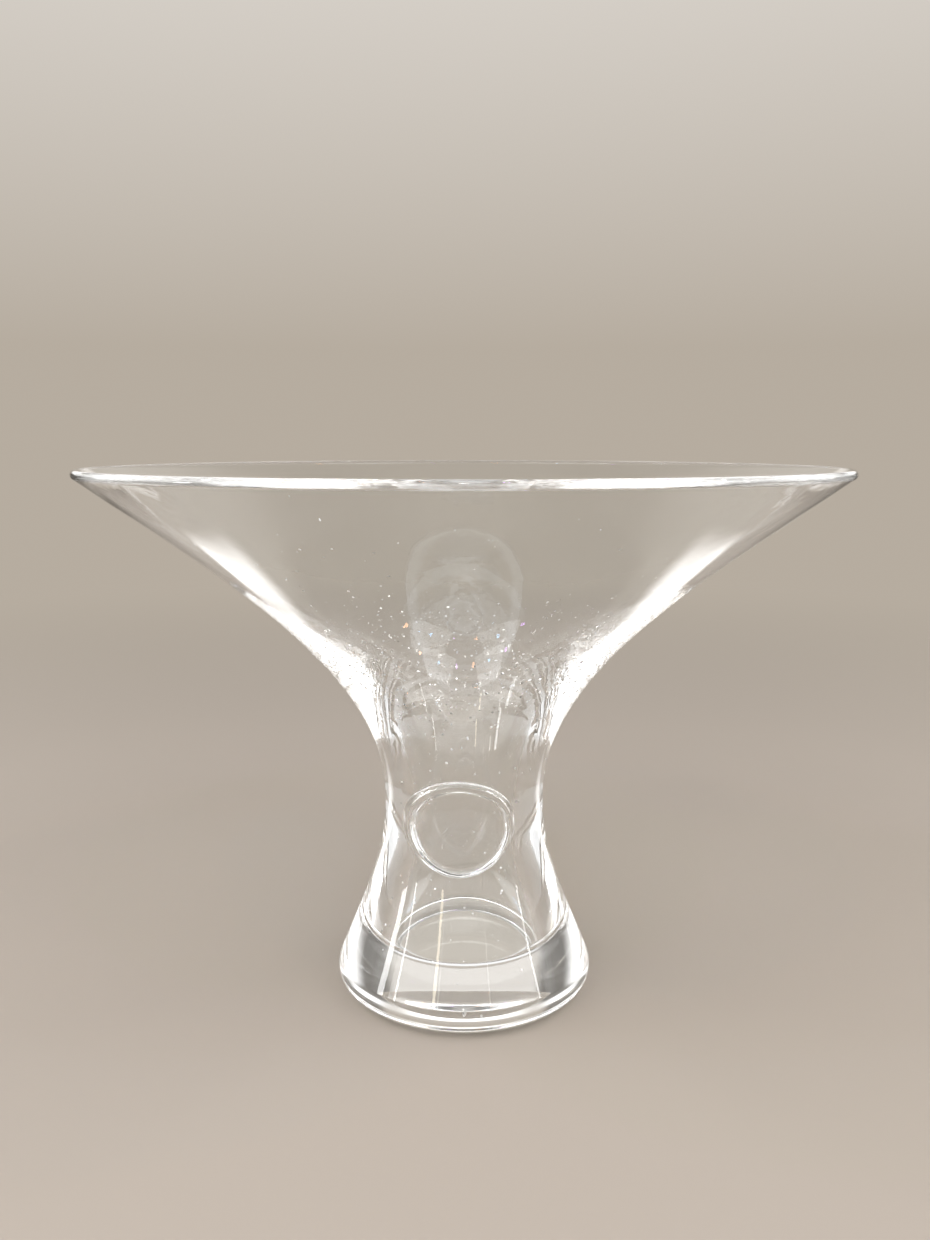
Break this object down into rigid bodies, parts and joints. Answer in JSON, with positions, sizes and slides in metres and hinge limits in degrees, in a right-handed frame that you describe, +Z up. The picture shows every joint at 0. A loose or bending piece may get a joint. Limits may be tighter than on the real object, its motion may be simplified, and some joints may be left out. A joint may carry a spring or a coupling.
{
  "type": "footed crystal bowl",
  "caption": "Footed bowl in clear heavy crystal: a wide flared bowl on a waisted hollow stem and a solid foot, with a round applied seal on the stem.",
  "frame": {"origin": "centre of the foot's flat underside, which is the bottom centre of the part's box", "axes": "+Z up along the bowl's axis, -Y out through the applied seal, +X to the right as the seal is faced"},
  "size_m": [0.2198, 0.2198, 0.161],
  "materials": {
    "bowl_crystal": "clear fire-polished crystal",
    "foot_crystal": "clear crystal, polished flat underneath",
    "seal_crystal": "clear crystal pressed with a plain stamp"
  },
  "bodies": {
    "root": {"blown_bowl": "bowl_crystal", "solid_foot": "foot_crystal", "applied_seal": "seal_crystal"}
  },
  "joints": []
}
